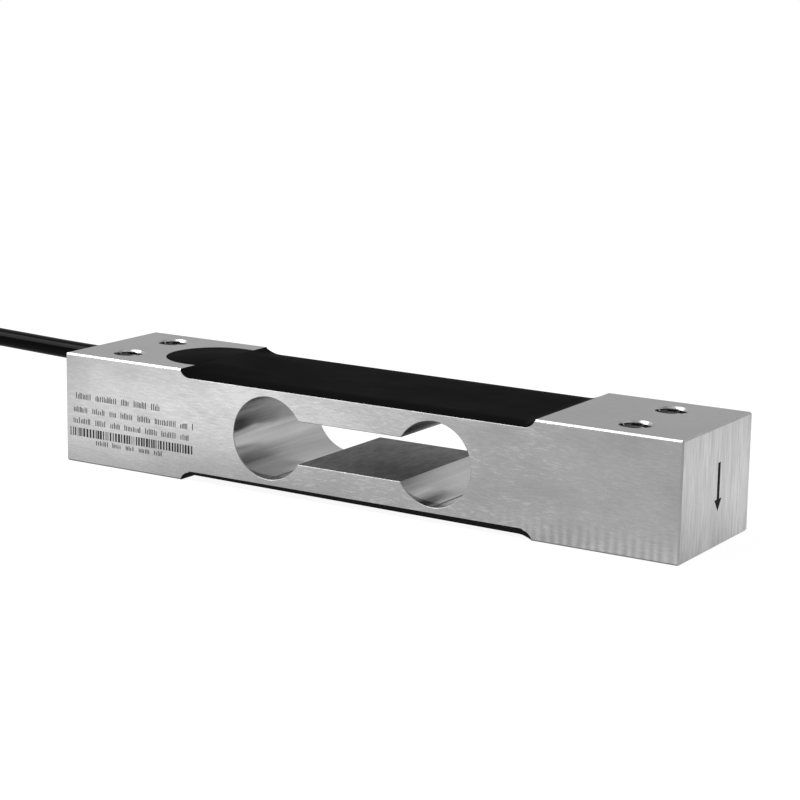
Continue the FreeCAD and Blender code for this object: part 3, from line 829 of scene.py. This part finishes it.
def dataField():
    # where a maker would mark its data: rows of plain upright ticks in groups, and a strip of bars
    random = np.random.default_rng(marking["seed"])
    plates = []
    for start, end, foot, tall in marking["rows"]:
        x = start
        groupEnd = start + random.uniform(*marking["group"])
        while x < end:
            top = foot + tall * random.uniform(*marking["tickShare"])
            plates.append(rectangle(x, x + marking["tick"], foot, top))
            x += random.uniform(*marking["tickPitch"])
            if x > groupEnd:
                x += marking["groupGap"]
                groupEnd = x + random.uniform(*marking["group"])
    x, end, foot, top = marking["strip"]
    while x < end:
        width = random.uniform(*marking["barWidth"])
        plates.append(rectangle(x, x + width, foot, top))
        x += width + random.uniform(*marking["barGap"])
    return thinPlates("markingField", plates, (0, -halfWidth, 0), (1, 0, 0), (0, 0, 1), (0, -1, 0))


def loadArrow():
    y, top, tip, head, wide, shaft = marking["arrow"]
    outline = np.array([(y - shaft, top), (y - shaft, tip + head), (y - wide, tip + head), (y, tip),
                        (y + wide, tip + head), (y + shaft, tip + head), (y + shaft, top)])
    return thinPlates("loadArrow", [outline], (halfLength, 0, 0), (0, 1, 0), (0, 0, 1), (1, 0, 0))


fieldInk = makeSoft("etchedGrey", (0.025, 0.025, 0.025), 0.55, specular=0.2, grain=2500.0, variety=0.3)
arrowInk = makeSoft("etchedBlack", (0.004, 0.004, 0.004), 0.6, specular=0.1, grain=2500.0)
for piece, material in ((dataField(), fieldInk), (loadArrow(), arrowInk)):
    dress(piece, material)
    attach(piece, "root")
print("marking etched")


# what the compound and the cable hold

def dressNodes(names, material):
    for name in names:
        dress(nodes[name], material)


jacket = makeSoft("cableJacket", (0.0001, 0.0001, 0.00012), 0.11, specular=0.10, grain=1400.0, bump=0.0001)
dress(freeCable, jacket)
dressNodes(["cable_in_bore"], jacket)
insulation = {
    "red": (0.50, 0.02, 0.02),
    "black": (0.01, 0.01, 0.01),
    "green": (0.02, 0.28, 0.06),
    "white": (0.78, 0.78, 0.76),
}
for name, colour in insulation.items():
    material = makeSoft(name + "Insulation", colour, 0.35, grain=2500.0, bump=0.003)
    dressNodes(["core_" + name, "lead_" + name], material)
tinned = makeSoft("tinnedCopper", (0.72, 0.71, 0.69), 0.3, grain=6000.0, bump=0.01, metallic=1.0)
dressNodes(["shield_drain_wire", "lead_drain_wire", "lead_tips"], tinned)
dressNodes(["board_solder_joints"], makeSoft("solder", (0.66, 0.66, 0.67), 0.25, grain=1800.0, metallic=1.0))
dressNodes(["circuit_board"], makeSoft("boardMask", (0.02, 0.17, 0.07), 0.35, grain=700.0, coat=0.4))
dressNodes([name for name in nodes if name.endswith("resistor")],
           makeSoft("chipBody", (0.03, 0.03, 0.035), 0.5, grain=3000.0))
dressNodes([name for name in nodes if "_gauge_" in name and not name.endswith("leads")],
           makeSoft("gaugeFilm", (0.42, 0.22, 0.05), 0.3, grain=2000.0, coat=0.5))
dressNodes([name for name in nodes if "_terminal_" in name],
           makeSoft("terminalStrip", (0.32, 0.27, 0.14), 0.45, grain=2500.0))
dressNodes(["top_gauge_leads", "bottom_gauge_leads"],
           makeSoft("ribbonCopper", (0.70, 0.36, 0.20), 0.3, grain=1500.0, metallic=1.0))
dressNodes(["coil_tie"], makeSoft("tiePlastic", (0.02, 0.02, 0.02), 0.45, grain=1200.0))
dressNodes(["lead_sleeve"], makeSoft("shrinkSleeve", (0.008, 0.008, 0.008), 0.5, grain=1200.0, bump=0.01))
print("inner parts dressed")


# floor, light and camera

stage = {
    "floorHalf": 0.6,
    "floorGap": 0.02 * mm,      # below the feet, so that no two faces lie in one plane
    "floorTone": 0.9,
    "whiteShare": 0.84,         # of the floor that glows for the camera and in mirrors; the rest takes shadow
    "glow": 1.11,               # of that share, as the camera sees it
    "sky": 0.45,                # to all but the camera, which sees white
    # what the metal sees of the floor: its level, then painted pools of light that glow in it and are seen
    # only in the metal's mirror image: where they lie, how far they reach and how strongly
    "floorLevel": 0.32,
    "pools": (((-0.074, -0.078, 0), 0.077, 0.82), ((0.10, 0.06, 0), 0.12, 0.515)),
}


def makeFloor():
    half = stage["floorHalf"]
    corners = [(-half, -half), (half, -half), (half, half), (-half, half)]
    floor = newPiece("floor", [(x, y, -stage["floorGap"]) for x, y in corners], [(0, 1, 2, 3)])
    material = bpy.data.materials.new("paleFloor")
    material.use_nodes = True
    tree = material.node_tree
    tree.nodes.clear()
    path = addNode(tree, "ShaderNodeLightPath").outputs
    mirrored = addMath(tree, "MAXIMUM", path["Is Glossy Ray"], path["Is Transmission Ray"])
    seen = addMath(tree, "MAXIMUM", path["Is Camera Ray"], mirrored)
    share = addMath(tree, "MULTIPLY", seen, stage["whiteShare"])
    level = stage["floorLevel"]
    # painted pools of light, which brighten what the metal mirrors of the floor
    for middle, reach, strength in stage["pools"]:
        away = addNode(tree, "ShaderNodeVectorMath", {0: objectPlace(tree), 1: middle}, operation="DISTANCE")
        fall = {"Value": away.outputs["Value"], "From Max": reach, "To Min": strength, "To Max": 0.0}
        pool = addNode(tree, "ShaderNodeMapRange", fall, interpolation_type="SMOOTHSTEP")
        level = addMath(tree, "ADD", level, pool.outputs["Result"])
    levels = {0: path["Is Camera Ray"], 2: level, 3: stage["glow"]}
    level = addNode(tree, "ShaderNodeMix", levels, data_type="FLOAT").outputs[0]
    diffuse = addNode(tree, "ShaderNodeBsdfDiffuse", {"Color": (stage["floorTone"],) * 3 + (1,)})
    glow = addNode(tree, "ShaderNodeEmission", {"Strength": level})
    mix = addNode(tree, "ShaderNodeMixShader", {0: share, 1: diffuse.outputs[0], 2: glow.outputs[0]})
    addNode(tree, "ShaderNodeOutputMaterial", {"Surface": mix.outputs[0]})
    floor.data.materials.append(material)


def makeWorld():
    world = bpy.data.worlds.new("studio")
    bpy.context.scene.world = world
    world.use_nodes = True
    tree = world.node_tree
    seen = addNode(tree, "ShaderNodeLightPath").outputs["Is Camera Ray"]
    sky = mapRange(tree, seen, 0.0, 1.0, stage["sky"], 1.0)
    tree.links.new(sky, tree.nodes["Background"].inputs["Color"])


# place, what it is aimed at, size and watts
lamps = {
    "leftLamp": ((-0.47, -0.235, 0.58), (0, 0, 0.01), (0.4, 0.9), 2.9),
    "keyLamp": ((-0.42, -0.28, 0.60), (-0.04, 0, 0.01), (0.1, 0.1), 1.9),
    "sideLamp": ((0.6, 0.35, 0.25), (0.06, 0, 0.01), (0.3, 0.3), 0.4),
}


def softbox(name, place, target, size, power):
    lamp = bpy.data.lights.new(name, "AREA")
    lamp.shape = "RECTANGLE"
    lamp.size, lamp.size_y = size
    lamp.energy = power
    holder = bpy.data.objects.new(name, lamp)
    bpy.context.scene.collection.objects.link(holder)
    holder.location = place
    holder.rotation_euler = (Vector(target) - Vector(place)).to_track_quat("-Z", "Y").to_euler()


camera = {
    "azimuth": 31.724,      # degrees, from the front round towards the loaded end
    "elevation": 11.814,
    "roll": 0.943,
    "distance": 414.4 * mm,
    "lens": 102.36,
    "sensorWidth": 36,
    "target": (1.99 * mm, 0, 17.82 * mm),
}


def placeCamera():
    azimuth, elevation, roll = (math.radians(camera[key]) for key in ("azimuth", "elevation", "roll"))
    back = Vector((math.sin(azimuth) * math.cos(elevation), -math.cos(azimuth) * math.cos(elevation),
                   math.sin(elevation)))
    right = Vector((math.cos(azimuth), math.sin(azimuth), 0))
    up = back.cross(right)
    leanRight = right * math.cos(roll) + up * math.sin(roll)
    leanUp = up * math.cos(roll) - right * math.sin(roll)
    lens = bpy.data.cameras.new("camera")
    lens.lens = camera["lens"]
    lens.sensor_width = camera["sensorWidth"]
    lens.clip_start = 0.01
    holder = bpy.data.objects.new("camera", lens)
    bpy.context.scene.collection.objects.link(holder)
    place = Vector(camera["target"]) + back * camera["distance"]
    holder.matrix_world = Matrix.Translation(place) @ Matrix((leanRight, leanUp, back)).transposed().to_4x4()
    bpy.context.scene.camera = holder


makeFloor()
makeWorld()
for name, settings in lamps.items():
    softbox(name, *settings)
placeCamera()
bpy.context.scene.view_settings.view_transform = "Standard"
print("stage set")
